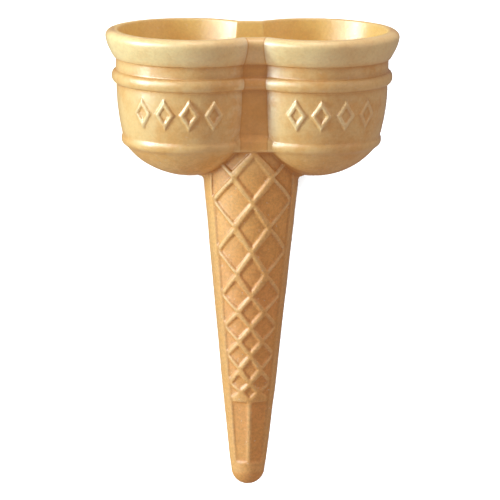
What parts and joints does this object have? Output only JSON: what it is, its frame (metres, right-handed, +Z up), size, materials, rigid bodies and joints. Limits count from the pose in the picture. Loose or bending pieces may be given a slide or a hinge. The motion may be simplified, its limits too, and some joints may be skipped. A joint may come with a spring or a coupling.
{
  "type": "wafer ice cream cone",
  "caption": "Empty moulded wafer cone: side-by-side round cups with flared lips on one tapering stem with a raised diamond lattice, laid on its back.",
  "frame": {"origin": "centre of the bounding box's underside: the cone lies on its back on Z = 0", "axes": "+Y from the tip of the stem towards the mouths of the cups, +X from the left cup to the right cup, +Z up out of the shown side"},
  "size_m": [0.0878, 0.1406, 0.0495],
  "materials": {
    "wafer": "baked wafer, semi-matt, finely mottled straw yellow to light brown"
  },
  "bodies": {
    "root": {"wafer_cone": "wafer"}
  },
  "joints": []
}
